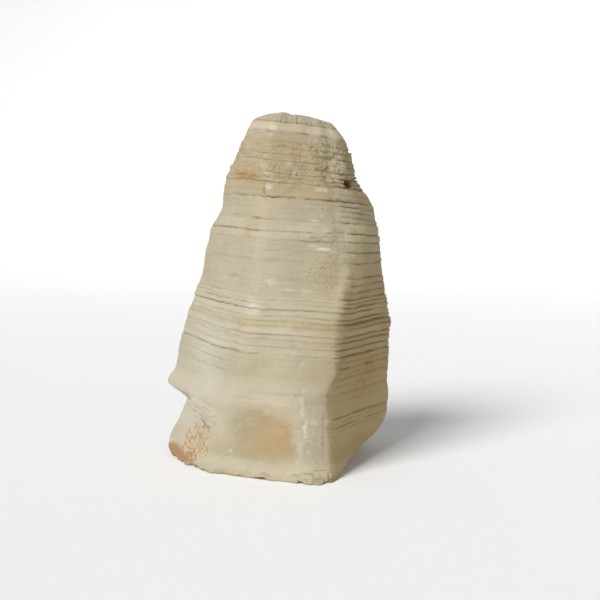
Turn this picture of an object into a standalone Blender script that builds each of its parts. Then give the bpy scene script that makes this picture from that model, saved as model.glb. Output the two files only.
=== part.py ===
"""River stone: one upright block of thin-bedded stone, standing on its own flat underside.

The stone is a stack of rings. Each ring follows one bed of the rock, so ledges and grooves run
along the rings, and the beds dip a little towards +X. A ring's outline is the seven-sided section
between the stone's arrises with softened corners, less the overhanging underside and the struck
facets. +Z is up, -Y is the front, and the origin is the middle of the underside.
All sizes are in millimetres until the vertices are made.
"""
import math

import bmesh
import bpy
import numpy as np

MM = 0.001

# Driving dimensions of the block.
CREST = 279.5            # height of the cap's highest part
CREST_EDGE = 8.0         # x at which the cap starts to slope down
CREST_SLOPE = 0.17       # fall of the cap per millimetre of x beyond that
RIM_LEVEL = 273.0        # bed level at which the flanks end and the cap starts
LEAN = (17.0, 2.0)       # how far the middle of the section moves in x and y up to the crest
MIDDLE = (-1.3, -1.4)     # the middle of the whole stone, in the x and y of the outlines below
EASE = 2.0               # height over which a corner in an arris's outline is eased
ROW_GAP = 8.5            # largest distance between two rings
LIP_LEVELS = (41.0, 46.8, 50.6)   # rings in the notch under the left lip and at its blunt tip
FOOT_INSET = 1.5         # how far the lowest edge is worn back
FOOT_WEAR = 3.0          # height over which that wear fades out

# Arrises, counter-clockwise from above: points of height, x and y.
RIGHT = [(0, 95, 24), (50, 96, 26), (67, 94, 27), (84, 97, 27), (113, 98, 25), (142, 91, 20),
         (180, 85.5, 13), (189, 86, 12), (197, 83, 10), (205, 82, 10), (214, 77, 8), (222, 69.5, 7),
         (228, 66.5, 6), (242, 63.7, 6), (260, 55, 2), (272, 44, -4), (281, 36, -6)]
BACK_RIGHT = [(0, 50, 66), (50, 58, 72), (130, 64, 62), (195, 60, 46), (250, 48, 28), (281, 34, 17)]
BACK_LEFT = [(0, -56, 72), (46, -54, 74), (59, -61, 82), (75, -57, 77), (90, -52, 71),
             (165, -34, 58), (220, -20, 40), (281, -2, 17)]
LEFT = [(0, -93, 12), (9, -94, 15), (20, -90, 22), (30, -85.5, 28), (45.5, -79, 33), (51.5, -102, 66),
        (55, -102, 68), (64, -93, 58), (74, -89, 51), (86, -86, 44), (100, -82, 37), (150, -65, 26),
        (190, -57, 21), (205, -47, 16), (228, -45, 14), (258, -29, 6), (281, -17, 0)]
FRONT_LEFT = [(0, -58, -45), (14, -54, -46), (43, -42, -52), (59, -38, -58), (70, -31, -58),
              (91, -27, -60), (137, -15, -56), (188, -10, -48), (250, -4, -38), (281, -1, -31)]
FRONT_RIDGE = [(0, 29, -83), (7, 23, -74), (18, 17, -69.5), (60, 19, -71), (90, 18, -67),
               (137, 19, -59.5), (188, 24, -49.5), (250, 20, -32), (281, 19, -23)]
FRONT_RIGHT = [(0, 45, -74), (14, 43, -69), (67, 40, -67), (78, 46, -66), (107, 47, -65),
               (140, 52, -60), (148, 58, -56), (186, 62, -48), (195, 57, -44), (216, 57, -38),
               (234, 52, -30), (281, 40, -14)]
ARRISES = [RIGHT, BACK_RIGHT, BACK_LEFT, LEFT, FRONT_LEFT, FRONT_RIDGE, FRONT_RIGHT]
# How tight each arris is, at the foot and at the crest.
SHARPNESS = [(32, 32), (26, 26), (24, 24), (32, 32), (18, 18), (30, 30), (60, 6)]
COLUMNS = [7, 11, 6, 10, 10, 4, 12]          # rings' points from each arris to the next

# The underside rises to the right of the foot: points of height and x.
UNDERSIDE = [(0, 41), (11, 57), (16, 73), (22, 88), (30, 95.5), (44, 106), (60, 118)]
UNDERSIDE_TURN = math.radians(4.0)       # how far its slope is turned towards the back

# Struck facets: a point of each, in x, y and z, and its outward normal.
FACETS = [((70, 62, 40), (0.55, 0.70, -0.45)), ((-46, 66, 112), (-0.28, 0.90, 0.33)),
          ((62, 47, 178), (0.62, 0.75, 0.24)), ((10, 49, 222), (-0.05, 0.90, 0.43)),
          ((-68, 58, 0), (-0.50, 0.70, -0.50)), ((56.7, -52.9, 147), (0.565, -0.77, 0.28))]

# Stretches of the flanks that stand out further: directions and bed levels between which they
# do, in degrees from +X and millimetres, and how far. The first fills the flank under the lip,
# and the second is the lump at the front right of the foot.
SWOLLEN = [(166, 228, 23, 46.5, 3.2), (280, 302, -12, 7, 4.2)]
SWOLLEN_RISE, SWOLLEN_FALL = 15.0, 3.0   # heights over which it starts, going up, and ends

# Dip of the beds: points of bed level and fall per millimetre of x.
DIP = [(0, 0.0), (40, 0.05), (180, 0.05), (240, 0.10), (280, 0.12)]

# Beds: the level of each bed's lower edge, and how far the bed stands proud of the faces.
BEDS = [(0, 0.2), (66, 0.9), (95, -0.1), (110, 0.6), (119.5, -0.2), (129, 0.8), (139, -0.1),
        (166, 0.3), (182, 0.8), (188, 0.1), (214, -0.2), (226, 0.3), (265, 0.5)]
BED_STEP = 1.4           # height over which one bed's face runs into the next

# Grooves: bed level, depth, and the directions it starts and ends at, in degrees from +X.
GROOVES = [(49, 1.4, 300, 370), (66, 1.4, 270, 345), (86, 1.4, 300, 580), (95, 1.9, 0, 360),
           (110, 1.2, 0, 360), (119.5, 1.4, 0, 360), (129, 1.8, 0, 360), (133, 1.6, 120, 250),
           (139, 1.4, 0, 360), (182, 1.2, 190, 330), (188, 1.7, 0, 360), (214, 1.2, 0, 360),
           (226, 1.4, 0, 360), (237, 1.9, 300, 400), (246, 1.7, 250, 400), (265, 1.2, 0, 360)]
GROOVE_WIDTH = 1.5       # from a groove's bottom to its edge
WINDOW_FADE = 12.0       # degrees over which a groove or a swelling that isn't all round fades out

# Unevenness: depth, values round the stone and rise per value, from broad to fine.
SWELLS = [(1.3, 9, 46.0), (0.7, 22, 15.0), (0.35, 48, 5.0)]
CAP_ROUGHNESS, CAP_LUMP = 1.3, 11.0          # height and width of the cap's lumps
CAP_STEPS = (0.96, 0.88, 0.74, 0.5, 0.25)    # the cap's rings, as shares of the rim's size
CAP_BEND = 8                                 # higher is a flatter cap with a tighter edge

# The cavity near the right arris: arris share, bed level, and half sizes.
CAVITY_SHARE, CAVITY_LEVEL = 6.1, 228.5
CAVITY_HALF_SIZE = (4.5, 4.0, 3.0)

STONE_COLOUR = (0.55, 0.49, 0.35, 1.0)
STONE_ROUGHNESS = 0.9


def clear_scene():
    for thing in list(bpy.data.objects):
        bpy.data.objects.remove(thing, do_unlink=True)


def smooth(x):
    """0 below 0, 1 above 1, and a smooth step between."""
    x = np.clip(x, 0.0, 1.0)
    return x * x * (3.0 - 2.0 * x)


def lattice(i, j, seed):
    """The same value from -1 to 1 each time for one whole-number point and seed."""
    return 2.0 * np.mod(np.sin(i * 12.9898 + j * 78.233 + seed * 37.719) * 43758.5453, 1.0) - 1.0


def patches(u, v, cells, seed):
    """Smooth noise from -1 to 1, one value per unit of u and v, that repeats after `cells` in u."""
    i, j = np.floor(u), np.floor(v)
    across, up = smooth(u - i), smooth(v - j)
    near, far = np.mod(i, cells), np.mod(i + 1, cells)
    low = lattice(near, j, seed) * (1 - across) + lattice(far, j, seed) * across
    high = lattice(near, j + 1, seed) * (1 - across) + lattice(far, j + 1, seed) * across
    return low * (1 - up) + high * up


def noise(turn, level, cells, rise, seed):
    """Noise over the flanks, with `cells` values round the stone and one each `rise` up it."""
    return patches(turn * cells, level / rise, cells, seed)


def along(outline, height):
    """The values of an outline at each height, with its corners eased."""
    table = np.array(outline, dtype=float)
    columns = []
    for values in table.T[1:]:
        below, here, above = (np.interp(height + shift, table[:, 0], values)
                              for shift in (-EASE, 0.0, EASE))
        columns.append(0.25 * below + 0.5 * here + 0.25 * above)
    return columns


def axis(height):
    return LEAN[0] * height / CREST, LEAN[1] * height / CREST


def directions(height, share):
    """Direction of each column: `share` counts arrises, so whole numbers lie on an arris."""
    axis_x, axis_y = axis(height)
    turns = []
    for outline in ARRISES + ARRISES[:1]:
        x, y = along(outline, height)
        turns.append(np.arctan2(y - axis_y, x - axis_x))
    turns = np.unwrap(turns, axis=0)
    side = np.clip(np.floor(share).astype(int), 0, len(ARRISES) - 1)
    start = np.take_along_axis(turns, side[None], 0)[0]
    end = np.take_along_axis(turns, side[None] + 1, 0)[0]
    return start + (end - start) * (share - side)


def arris_sharpness(share, level):
    """The soft minimum's exponent: eased from arris to arris, and from the foot's to the crest's
    as (level / crest) ^ 0.7."""
    foot, crest = np.array(SHARPNESS + SHARPNESS[:1]).T
    rise = np.clip(level / CREST, 0.0, 1.0) ** 0.7
    side = np.floor(share)
    eased = side + smooth(share - side)
    arrises = range(len(foot))
    return np.interp(eased, arrises, foot) * (1.0 - rise) + np.interp(eased, arrises, crest) * rise


def face_radius(direction, height, sharpness):
    """Distance from the axis to the faces: a soft minimum over the planes that bound the section."""
    axis_x, axis_y = axis(height)
    cos, sin = np.cos(direction), np.sin(direction)
    corners = [along(outline, height) for outline in ARRISES]
    total = np.zeros_like(height)
    for (x0, y0), (x1, y1) in zip(corners, corners[1:] + corners[:1]):
        across_x, across_y = y1 - y0, x0 - x1
        distance = (x0 - axis_x) * across_x + (y0 - axis_y) * across_y
        total += (np.maximum(cos * across_x + sin * across_y, 0.0) / distance) ** sharpness
    out_x, out_y = math.cos(UNDERSIDE_TURN), math.sin(UNDERSIDE_TURN)
    distance = along(UNDERSIDE, height)[0] - axis_x * out_x - axis_y * out_y
    total += (np.maximum(cos * out_x + sin * out_y, 0.0) / distance) ** sharpness
    for (x, y, z), (out_x, out_y, out_z) in FACETS:
        distance = (x - axis_x) * out_x + (y - axis_y) * out_y + (z - height) * out_z
        distance = np.maximum(distance, 5.0)
        total += (np.maximum(cos * out_x + sin * out_y, 0.0) / distance) ** sharpness
    return total ** (-1.0 / sharpness)


def window(turn, start, end):
    """1 between two directions and 0 outside, with a smooth step at each end."""
    middle, half = (start + end) / 2, (end - start) / 2
    away = np.abs(np.mod(turn * 360.0 - middle + 180.0, 360.0) - 180.0)
    return 1.0 if half >= 180 else smooth((half - away) / WINDOW_FADE)


def bed_relief(turn, level):
    """How far the surface stands out: beds, grooves, swellings, unevenness and the worn foot."""
    edges = np.array([edge for edge, proud in BEDS[1:]])
    steps = np.diff([proud for edge, proud in BEDS])
    relief = np.full_like(level, BEDS[0][1])
    for edge, step in zip(edges, steps):
        relief += step * smooth((level - edge) / BED_STEP + 0.5)
    for groove_level, depth, start, end in GROOVES:
        nearness = smooth(1.0 - np.abs(level - groove_level) / GROOVE_WIDTH)
        strength = 0.75 + 0.25 * noise(turn, level, 14, 30.0, groove_level)
        relief -= depth * window(turn, start, end) * nearness * strength
    for start, end, low, high, height in SWOLLEN:
        rise = smooth((level - low) / SWOLLEN_RISE) * smooth((high - level) / SWOLLEN_FALL)
        relief += height * window(turn, start, end) * rise
    for seed, (depth, cells, rise) in enumerate(SWELLS):
        relief += depth * noise(turn, level, cells, rise, seed)
    return relief - FOOT_INSET * np.exp(-level / FOOT_WEAR)


def surface(share, level):
    """Points of the flanks: columns by arris share, rows by bed level."""
    dip = np.interp(level, *np.array(DIP).T)
    sharpness = arris_sharpness(share, level)
    height = level.copy()
    for _ in range(6):
        direction = directions(height, share)
        turn = np.mod(direction / (2 * math.pi), 1.0)
        radius = face_radius(direction, height, sharpness) + bed_relief(turn, level)
        axis_x, axis_y = axis(height)
        x, y = axis_x + radius * np.cos(direction), axis_y + radius * np.sin(direction)
        height = np.maximum(level - dip * x, 0.0)
    return np.stack([x - MIDDLE[0], y - MIDDLE[1], height], -1)


def ring_levels():
    """Bed levels of the rings: three at each groove, and the gaps between filled evenly."""
    marks = {0.0, FOOT_WEAR, RIM_LEVEL, *LIP_LEVELS}
    for groove in GROOVES:
        marks.update((groove[0] - GROOVE_WIDTH, float(groove[0]), groove[0] + GROOVE_WIDTH))
    marks = sorted(marks)
    levels = [marks[0]]
    for low, high in zip(marks, marks[1:]):
        count = math.ceil((high - low) / ROW_GAP)
        levels += [low + (high - low) * step / count for step in range(1, count + 1)]
    return np.array(levels)


def column_shares():
    return np.concatenate([side + np.arange(count) / count for side, count in enumerate(COLUMNS)])


def cap_rings(rim):
    """Rings that close in over the rim, up to the cap's crest."""
    middle = rim.mean(axis=0)
    rings = []
    for size in CAP_STEPS:
        ring = middle + (rim - middle) * size
        crest = CREST - CREST_SLOPE * np.maximum(ring[:, 0] - CREST_EDGE, 0.0)
        crest += CAP_ROUGHNESS * patches(ring[:, 0] / CAP_LUMP, ring[:, 1] / CAP_LUMP, 99, 8)
        ring[:, 2] = rim[:, 2] + (crest - rim[:, 2]) * (1.0 - size ** CAP_BEND)
        rings.append(ring)
    return rings


def stone_mesh():
    flank = surface(*np.meshgrid(column_shares(), ring_levels()))
    rings = list(flank) + cap_rings(flank[-1])
    shape = bmesh.new()
    loops = []
    for ring in rings:
        verts = [shape.verts.new(point * MM) for point in ring]
        loops.append([shape.edges.new((a, b)) for a, b in zip(verts, verts[1:] + verts[:1])])
    for lower, upper in zip(loops, loops[1:]):
        bmesh.ops.bridge_loops(shape, edges=lower + upper)
    bmesh.ops.contextual_create(shape, geom=loops[0])
    bmesh.ops.contextual_create(shape, geom=loops[-1])
    bmesh.ops.recalc_face_normals(shape, faces=shape.faces)
    mesh = bpy.data.meshes.new("river_rock")
    shape.to_mesh(mesh)
    shape.free()
    return mesh


def stone_material():
    material = bpy.data.materials.new("bedded stone")
    material.use_nodes = True
    shader = material.node_tree.nodes["Principled BSDF"]
    shader.inputs["Base Color"].default_value = STONE_COLOUR
    shader.inputs["Roughness"].default_value = STONE_ROUGHNESS
    shader.inputs["Metallic"].default_value = 0.0
    return material


def cavity_cutter():
    """An ellipsoid sunk half its depth into the flank beside the right arris."""
    place = surface(np.array([CAVITY_SHARE]), np.array([CAVITY_LEVEL]))[0]
    shape = bmesh.new()
    bmesh.ops.create_icosphere(shape, subdivisions=2, radius=1.0)
    bmesh.ops.scale(shape, vec=CAVITY_HALF_SIZE, verts=shape.verts)
    bmesh.ops.scale(shape, vec=(MM, MM, MM), verts=shape.verts)
    mesh = bpy.data.meshes.new("cavity_cutter")
    shape.to_mesh(mesh)
    shape.free()
    cutter = bpy.data.objects.new("cavity_cutter", mesh)
    cutter.location = place * MM
    cutter.rotation_euler.z = math.atan2(place[1], place[0])
    cutter.hide_render = True
    cutter.display_type = "WIRE"
    bpy.context.collection.objects.link(cutter)
    return cutter


def build_stone():
    mesh = stone_mesh()
    mesh.materials.append(stone_material())
    stone = bpy.data.objects.new("river_rock", mesh)
    bpy.context.collection.objects.link(stone)
    cut = stone.modifiers.new("cavity", "BOOLEAN")
    cut.operation = "DIFFERENCE"
    cut.solver = "EXACT"
    cut.object = cavity_cutter()
    mesh.shade_smooth()
    mesh.set_sharp_from_angle(angle=math.radians(30))
    return stone


def main():
    clear_scene()
    build_stone()


main()
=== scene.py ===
"""Looks of the river stone: the thin-bedded surface, its finish, and the studio that it stands in."""

import math

import bpy
import numpy as np
from bpy.props import FloatProperty, FloatVectorProperty, IntProperty, PointerProperty
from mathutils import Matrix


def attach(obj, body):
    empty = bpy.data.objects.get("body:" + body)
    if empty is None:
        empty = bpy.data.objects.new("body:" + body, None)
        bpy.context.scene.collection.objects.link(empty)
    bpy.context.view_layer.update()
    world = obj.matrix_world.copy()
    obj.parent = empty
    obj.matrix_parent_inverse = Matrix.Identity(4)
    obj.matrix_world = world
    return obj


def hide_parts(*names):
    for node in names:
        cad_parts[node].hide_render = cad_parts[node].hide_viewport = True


bl_info = {
    "name": "River Stone",
    "version": (1, 0, 0),
    "blender": (4, 5, 0),
    "location": "View3D > Sidebar > Stone",
    "description": "Builds the bedded surface of a river stone and a plain studio round it",
    "category": "Object",
}

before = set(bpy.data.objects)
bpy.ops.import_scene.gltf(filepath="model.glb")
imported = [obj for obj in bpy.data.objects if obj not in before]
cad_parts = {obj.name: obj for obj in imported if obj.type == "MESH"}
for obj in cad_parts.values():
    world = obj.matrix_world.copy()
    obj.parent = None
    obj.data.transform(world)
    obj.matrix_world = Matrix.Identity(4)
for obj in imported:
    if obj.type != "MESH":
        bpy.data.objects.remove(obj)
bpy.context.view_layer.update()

MM = 0.001

# The block, in millimetres. These are the outlines of the solid that the surface lies on.
CREST = 279.5
CREST_EDGE, CREST_SLOPE = 8.0, 0.17   # right of this x the crest falls, by this much per millimetre
RIM_LEVEL = 273.0                     # the bed level where the flanks end and the cap starts
LEAN = (17.0, 2.0)                    # how far the axis leans in x and y from foot to crest
MIDDLE = (-1.3, -1.4)                 # the point of the outlines that stands at the origin
EASE = 2.0                            # outlines are averaged over this height to each side
FOOT_INSET, FOOT_WEAR = 1.5, 3.0      # how far the foot's edge is worn in, and over what height
FOOT_LIFT, FOOT_RIM = 2.2, 5.0        # how high the scallops of the foot's rim rise, and their fade
FOOT_LUMP, FOOT_LUMP_HEIGHT = 1.7, 4.0  # depth of the foot's knobs, and the height they fade over

# Arrises, counter-clockwise from above: points of height, x and y.
RIGHT = [(0, 95, 24), (50, 96, 26), (67, 94, 27), (84, 97, 27), (113, 98, 25), (142, 91, 20),
         (180, 85.5, 13), (189, 86, 12), (197, 83, 10), (205, 82, 10), (214, 77, 8), (222, 69.5, 7),
         (228, 66.5, 6), (242, 63.7, 6), (260, 55, 2), (272, 44, -4), (281, 36, -6)]
BACK_RIGHT = [(0, 50, 66), (50, 58, 72), (130, 64, 62), (195, 60, 46), (250, 48, 28), (281, 34, 17)]
BACK_LEFT = [(0, -56, 72), (46, -54, 74), (59, -61, 82), (75, -57, 77), (90, -52, 71),
             (165, -34, 58), (220, -20, 40), (281, -2, 17)]
LEFT = [(0, -93, 12), (9, -94, 15), (20, -90, 22), (30, -85.5, 28), (45.5, -79, 33), (51.5, -102, 66),
        (55, -102, 68), (64, -93, 58), (74, -89, 51), (86, -86, 44), (100, -82, 37), (150, -65, 26),
        (190, -57, 21), (205, -47, 16), (228, -45, 14), (258, -29, 6), (281, -17, 0)]
FRONT_LEFT = [(0, -58, -45), (14, -54, -46), (43, -42, -52), (59, -38, -58), (70, -31, -58),
              (91, -27, -60), (137, -15, -56), (188, -10, -48), (250, -4, -38), (281, -1, -31)]
FRONT_RIDGE = [(0, 29, -83), (7, 23, -74), (18, 17, -69.5), (60, 19, -71), (90, 18, -67),
               (137, 19, -59.5), (188, 24, -49.5), (250, 20, -32), (281, 19, -23)]
FRONT_RIGHT = [(0, 45, -74), (14, 43, -69), (67, 40, -67), (78, 46, -66), (107, 47, -65),
               (140, 52, -60), (148, 58, -56), (186, 62, -48), (195, 57, -44), (216, 57, -38),
               (234, 52, -30), (281, 40, -14)]
ARRISES = [RIGHT, BACK_RIGHT, BACK_LEFT, LEFT, FRONT_LEFT, FRONT_RIDGE, FRONT_RIGHT]

# For each arris: how sharp it is at foot and crest, how worn it is below and above, and the share
# of the columns that lies between it and the next arris.
SHARPNESS = [(32, 32), (26, 26), (24, 24), (32, 32), (18, 18), (30, 30), (60, 6)]
ARRIS_WEAR = [(0.6, 1.0), (0.6, 0.6), (0.6, 0.6), (0.3, 0.25), (0.0, 0.1), (0.6, 0.0), (0.6, 0.25)]
FACE_SHARE = (0.12, 0.18, 0.10, 0.16, 0.17, 0.07, 0.20)
ROUGH_REACH, CHIP_REACH = 8.0, 4.0    # how far from an arris the beds are rougher, and are chipped
UPPER_LEVEL, UPPER_FADE = 80.0, 60.0  # where the arrises' wear above starts, and over what height

# The underside rises to the right of the foot: points of height and x.
UNDERSIDE = [(0, 41), (11, 57), (16, 73), (22, 88), (30, 95.5), (44, 106), (60, 118)]
UNDERSIDE_TURN = math.radians(4.0)

# Struck facets: a point of each, in x, y and z, and its outward normal.
FACETS = [((70, 62, 40), (0.55, 0.70, -0.45)), ((-46, 66, 112), (-0.28, 0.90, 0.33)),
          ((62, 47, 178), (0.62, 0.75, 0.24)), ((10, 49, 222), (-0.05, 0.90, 0.43)),
          ((-68, 58, 0), (-0.50, 0.70, -0.50)), ((56.7, -52.9, 147), (0.565, -0.77, 0.28))]

# Under the lip the left flank fills out: directions, bed levels and how far it stands out.
LIP_FILL = (166, 228, 23, 46.5, 3.2)
LIP_FADES = (15, 3)                   # heights over which that starts below and ends above
WINDOW_FADE = 12.0                    # degrees over which a window onto some directions opens

# Dip of the beds: points of bed level and fall per millimetre of x.
DIP = [(0, 0.0), (40, 0.05), (180, 0.05), (240, 0.10), (280, 0.12)]

# Beds: the level of each bed's lower edge, how far the bed stands proud of the faces, and the
# height over which it steps out.
BEDS = [(0, 0.2, 1.4), (66, 0.9, 7.0), (95, -0.1, 1.4), (110, 0.6, 1.4), (119.5, -0.2, 1.4),
        (129, 0.8, 1.4), (139, -0.1, 1.4), (166, 0.3, 3.0), (182, 0.8, 5.0), (188, 0.1, 1.4),
        (214, -0.2, 1.4), (226, 0.3, 1.4), (265, 0.5, 1.4)]

# Zones, each from its level up: thickness of its laminae, depth of the ledges between them,
# how crumbly it is, and how striped.
ZONES = [(0, 1.6, 0.0, 0.25, 0.05), (9.5, 2.9, 0.0, 0.15, 0.05), (60.5, 2.9, 0.0, 0.15, 0.15),
         (95, 2.1, 0.22, 0.22, 0.9), (139, 2.9, 0.12, 0.30, 0.5), (182, 2.1, 0.20, 0.40, 0.6),
         (197, 2.6, 0.12, 0.35, 0.4), (214, 2.2, 0.20, 0.40, 0.5), (226, 1.7, 0.36, 0.90, 1.0),
         (257.5, 2.0, 0.25, 0.45, 0.8), (265, 2.4, 0.08, 0.12, 0.2)]

# Grooves: bed level, depth, half width, and strength on the left flank, the front, the right
# face and the back.
GROOVES = [
    (34.3, 0.7, 0.6, 0.3, 0.0, 0.2, 0.4), (37.5, 0.9, 0.6, 0.4, 0.0, 0.6, 0.0),
    (40.8, 0.8, 0.6, 0.3, 0.0, 0.9, 0.0), (44.5, 0.7, 0.6, 0.1, 0.0, 0.6, 0.5),
    (48, 0.9, 0.7, 0.0, 0.0, 0.9, 0.6), (60.5, 0.7, 0.6, 0.0, 0.4, 0.4, 0.3),
    (66, 1.0, 0.7, 0.05, 0.1, 0.6, 0.8), (72.5, 0.6, 0.5, 0.0, 0.0, 0.8, 0.3),
    (78, 0.8, 0.6, 0.3, 0.1, 0.9, 0.6), (82, 0.6, 0.5, 0.2, 0.0, 0.8, 0.4),
    (86, 0.9, 0.7, 0.5, 0.1, 1.0, 0.8), (90.5, 0.6, 0.5, 0.2, 0.1, 0.8, 0.4),
    (95, 1.4, 0.8, 0.9, 0.6, 1.1, 1.0), (100.5, 0.9, 0.7, 0.3, 0.45, 1.1, 0.5),
    (106, 0.9, 0.7, 0.3, 0.5, 1.1, 0.5), (110, 1.1, 0.8, 0.4, 0.5, 1.1, 1.0),
    (116, 0.7, 0.6, 0.3, 0.6, 1.0, 0.5), (120, 1.1, 0.8, 0.3, 0.5, 1.1, 1.0),
    (123.5, 1.0, 0.7, 0.5, 0.6, 1.2, 0.6), (129, 1.1, 0.8, 0.75, 0.4, 1.15, 1.1),
    (133, 1.2, 0.7, 0.7, 0.2, 0.9, 0.8), (136, 0.8, 0.6, 0.6, 0.5, 0.9, 0.3),
    (139, 1.0, 0.7, 0.7, 0.4, 1.1, 0.8), (144, 0.8, 0.6, 0.1, 0.1, 1.0, 0.4),
    (149.5, 0.7, 0.6, 0.4, 0.1, 0.9, 0.3), (155, 0.8, 0.6, 0.1, 0.1, 1.1, 0.5),
    (166, 0.8, 0.7, 0.3, 0.1, 0.9, 0.8), (174, 0.8, 0.6, 0.0, 0.3, 1.1, 0.5),
    (182, 0.9, 0.7, 0.2, 0.25, 1.0, 0.8), (188.5, 1.1, 0.6, 0.9, 0.8, 1.2, 1.0),
    (197, 0.8, 0.6, 0.2, 0.4, 1.1, 0.6), (201.5, 0.6, 0.5, 0.1, 0.1, 0.9, 0.3),
    (206, 0.7, 0.6, 0.1, 0.2, 1.1, 0.5), (210, 0.8, 0.6, 0.1, 0.3, 1.1, 0.5),
    (214, 1.2, 0.6, 0.75, 1.0, 1.2, 1.0), (219, 0.6, 0.5, 0.4, 0.1, 0.8, 0.4),
    (226, 1.3, 0.9, 0.45, 0.1, 1.0, 1.1), (229.5, 0.8, 0.6, 0.3, 0.6, 1.1, 0.5),
    (233, 0.8, 0.6, 0.3, 0.7, 1.1, 0.6), (237.5, 0.9, 0.6, 0.2, 0.6, 1.1, 0.6),
    (243, 0.9, 0.6, 0.5, 0.8, 1.1, 0.8), (248, 0.9, 0.6, 0.7, 0.7, 1.0, 0.8),
    (253, 0.7, 0.6, 0.4, 0.6, 1.0, 0.5), (257.5, 0.8, 0.6, 0.6, 0.5, 0.9, 0.7),
    (265, 1.1, 0.7, 0.6, 0.8, 0.8, 0.8), (273, 1.1, 0.8, 1.0, 1.0, 1.0, 1.0)]

# Where those sides lie: points of arris share, and which of the four strengths holds there.
SIDES = [(0.0, 2), (0.8, 3), (2.4, 3), (3.05, 0), (3.8, 0), (4.15, 1), (5.93, 1), (6.08, 2), (7.0, 2)]

# Places that crumble more than their zone: direction in degrees, bed level, half width, half
# height and strength.
CRUMBLY = [(314, 176, 22, 48, 0.9), (312, 200, 24, 20, 0.5), (300, 184.5, 34, 5, 1.0),
           (318, 244, 30, 30, 1.4), (336, 238, 22, 24, 1.7), (295, 38, 13, 36, 0.3),
           (262, 238, 30, 16, 0.6), (303, 160, 32, 24, 0.8), (310, 210, 26, 10, 0.6),
           (292, 2, 22, 7, 1.2), (310, 84, 10, 22, 0.6), (202, 20, 20, 16, 0.5),
           (40, 215, 40, 30, 0.7), (120, 130, 50, 25, 0.6)]

# Depth of the crumbs: everywhere, more of it above one bed level, and more of it below another.
CRUMB_DEPTH = 0.24
TOP_CRUMBS, FOOT_CRUMBS = (0.2, 222, 6), (0.5, 10, 5)   # each with its level and the fade's height

# Unevenness: depth, values round the stone and rise per value, from broad to fine.
SWELLS = [(1.3, 9, 46.0), (0.7, 22, 15.0), (0.35, 48, 5.0)]

# Scoops knocked out of the surface: direction in degrees, bed level, half width, half height, depth.
SCOOPS = [(242, 268.5, 3.4, 2.4, 0.5), (246, 222, 4, 3, 0.6), (300, 223.5, 5, 1.6, 0.6),
          (303, 198, 5, 1.1, 0.7), (297, 177, 9, 1.4, 0.7), (248, 131, 6, 5, 0.4), (257, 150, 6, 4, 0.3),
          (286, 47, 2.5, 5, 0.9), (287, 34, 3, 5, 0.9), (289, 23, 2.5, 3, 0.7), (231, 22, 3, 2.5, 0.7),
          (235, 14.5, 4, 1.6, 0.5), (294.5, 13.6, 2.2, 4, 0.9), (60, 150, 6, 4, 1.2), (110, 90, 7, 3, 1.0),
          (150, 200, 4, 2, 0.9)]

# The pit beside the right arris, given as a scoop is.
CAVITY = (332.5, 229.5, 7.0, 4.5, 4.0)

# Levels between which the beds' edges are ragged, the height of the fade and how ragged they are.
RAGGED = [(203.0, 232.0, 6.0, 1.0), (122.0, 142.0, 5.0, 0.9)]

ROUNDS, PLAIN_ROUNDS = 6, 4           # rounds of working out the flanks, and those without relief
CAP_RINGS = 22                        # rings between the rim and the middle of the cap
CAP_CROWDING = 1.6                    # higher brings more of the rings to the rim
CAP_BEND = 8                          # higher is a flatter cap with a tighter edge
CAP_LIP = 0.012                       # the share of its size by which the cap overhangs the groove

# The cap's lumps: height, width, cells before the pattern comes back, and seed.
CAP_LUMPS = [(1.3, 11.0, 99, 8), (0.7, 3.4, 399, 9), (0.5, 1.9, 799, 10)]

# Lumps of the foot's rim: direction in degrees, bed level, half width, half height and height.
FOOT_LUMPS = [(291, 0, 12, 6, 4.6), (299, 4.5, 6, 3, 2.4), (283, 1, 5, 3, 1.6), (226, 1, 7, 4, 1.2),
              (262, 0, 6, 3, 1.2)]


def colour_prop(name, description, value):
    return FloatVectorProperty(name=name, description=description, subtype="COLOR", default=value)


def length_prop(name, description, metres):
    return FloatProperty(name=name, description=description, unit="LENGTH", default=metres)


def angle_prop(name, description, degrees):
    return FloatProperty(
        name=name, description=description, subtype="ANGLE", default=math.radians(degrees))


class StoneSizes(bpy.types.PropertyGroup):
    columns: IntProperty(
        name="Columns", description="Points round the stone", default=300, min=60)
    relief: FloatProperty(
        name="Relief", description="Share of the full depth of ledges, grooves and crumbs",
        subtype="FACTOR", default=1.0, min=0.0, max=2.0)
    arris_chips: length_prop("Arris chips", "Deepest chip out of a worn arris", 0.0012)
    grain: length_prop("Grain", "Height of the sandy grain in the finish", 0.0006)


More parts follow.
